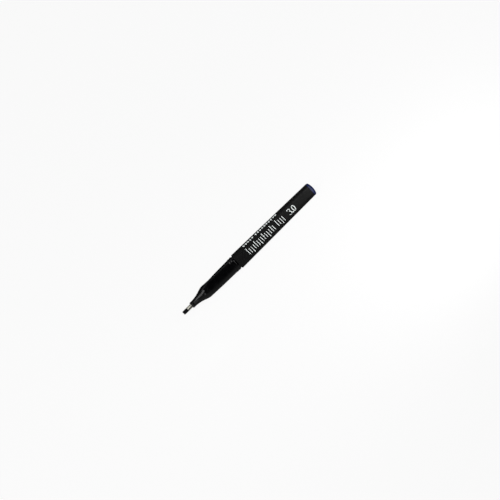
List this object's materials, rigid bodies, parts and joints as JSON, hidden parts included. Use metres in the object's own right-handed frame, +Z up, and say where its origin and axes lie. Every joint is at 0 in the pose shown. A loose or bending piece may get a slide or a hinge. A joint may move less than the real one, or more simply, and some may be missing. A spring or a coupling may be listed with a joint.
{
  "type": "calligraphy marker",
  "caption": "Calligraphy marker without its cap: tapered three-sided black barrel, scooped grip, chisel fibre nib in a metal sleeve, dark blue end plug.",
  "frame": {"origin": "under the middle of the pen's length, on the table plane that its lower barrel flat rests on", "axes": "-X towards the nib and +X towards the end plug, +Z up away from the lower flat; the pen's own axis falls 0.784 degrees from nib to plug, because the barrel tapers and lies on a flat"},
  "size_m": [0.1398, 0.0134, 0.0127],
  "materials": {
    "barrel_plastic": "fine satin texture on black moulded polypropylene, printed white",
    "plug_plastic": "semi-gloss dark blue moulded plastic",
    "grip_plastic": "polished black moulded plastic",
    "nib_fibre": "bonded fibre soaked with black ink",
    "sleeve_nickel": "thin bright nickel-plated sheet, lightly drawn along its length",
    "holder_plastic": "natural white moulded plastic",
    "reservoir_fibre": "bundled polyester fibre soaked with black ink",
    "reservoir_wrap": "thin clear film wrap"
  },
  "bodies": {
    "root": {"barrel": "barrel_plastic", "end_plug": "plug_plastic", "grip_section": "grip_plastic", "nib": "nib_fibre", "nib_sleeve": "sleeve_nickel", "nib_holder": "holder_plastic", "ink_reservoir": "reservoir_fibre", "reservoir_film": "reservoir_wrap"}
  },
  "joints": []
}
